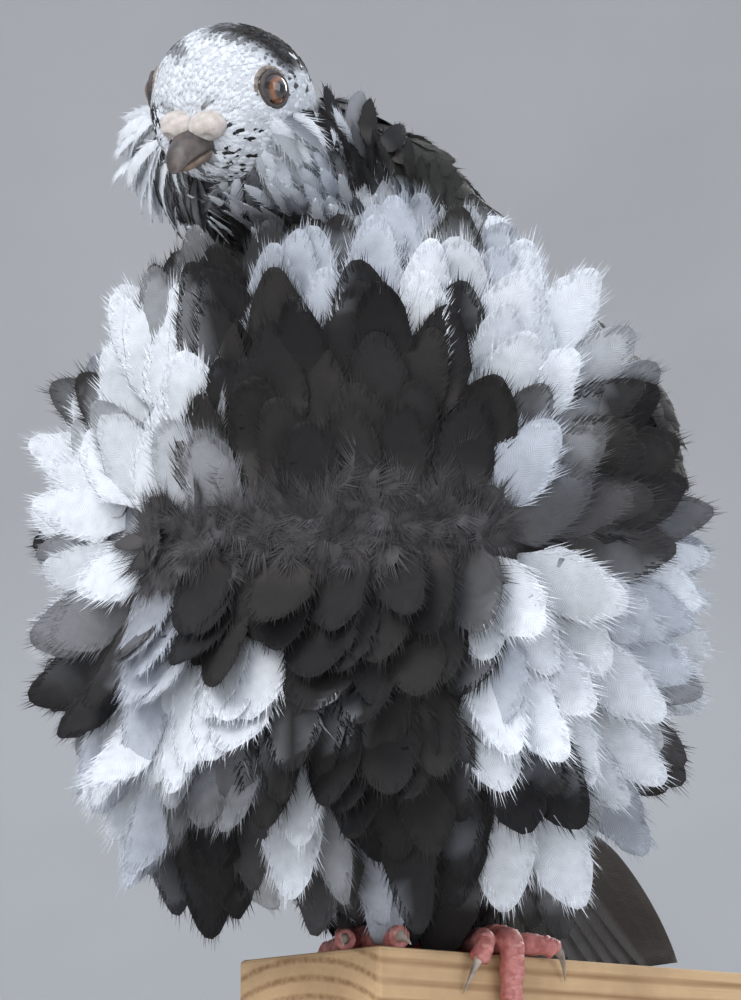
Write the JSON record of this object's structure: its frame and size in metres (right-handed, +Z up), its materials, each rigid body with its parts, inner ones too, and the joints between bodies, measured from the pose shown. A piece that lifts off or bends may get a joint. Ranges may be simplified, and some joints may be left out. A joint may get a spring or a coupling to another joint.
{
  "type": "chinese owl pigeon model",
  "caption": "Life-size still model of a frilled chinese owl pigeon, black and white pied, standing on a short cut length of timber held by a plain display stand.",
  "frame": {"origin": "centre of the stand base's flat underside, on the surface that the model stands on", "axes": "+Z up; -Y towards the viewer of the bird's breast; +X to that viewer's right. The bird's breast is turned 20 degrees from -Y towards -X, and the timber runs 40 degrees from +X towards +Y"},
  "size_m": [0.2194, 0.2064, 0.2635],
  "materials": {
    "torso_plumage": "soft loose feathers, black and white",
    "neck_plumage": "soft loose feathers, black and white",
    "head_plumage": "short close white feathers",
    "wing_plumage": "smooth black feathers with a bronze cast",
    "tail_plumage": "smooth grey and black feathers",
    "leg_plumage": "soft loose dark feathers",
    "cere_skin": "powdery, matte",
    "beak_horn_dark": "dull horn",
    "beak_horn_pale": "dull horn",
    "eye_gloss": "wet gloss",
    "foot_skin": "scaly skin",
    "claw_horn": "dull horn",
    "timber_sawn": "sawn softwood, weathered",
    "stand_wood": "satin dark wood",
    "stand_steel": "brushed"
  },
  "bodies": {
    "root": {"beak_lower": "beak_horn_pale", "beak_upper": "beak_horn_dark", "cere": "cere_skin", "claw_left_hind": "claw_horn", "claw_left_inner": "claw_horn", "claw_left_middle": "claw_horn", "claw_left_outer": "claw_horn", "claw_right_hind": "claw_horn", "claw_right_inner": "claw_horn", "claw_right_middle": "claw_horn", "claw_right_outer": "claw_horn", "eye_left": "eye_gloss", "eye_right": "eye_gloss", "foot_left": "foot_skin", "foot_right": "foot_skin", "head": "head_plumage", "leg_left": "leg_plumage", "leg_right": "leg_plumage", "neck": "neck_plumage", "perch_beam": "timber_sawn", "stand_base": "stand_wood", "stand_rod_1": "stand_steel", "stand_rod_2": "stand_steel", "tail": "tail_plumage", "torso": "torso_plumage", "wing_left": "wing_plumage", "wing_right": "wing_plumage"}
  },
  "joints": []
}
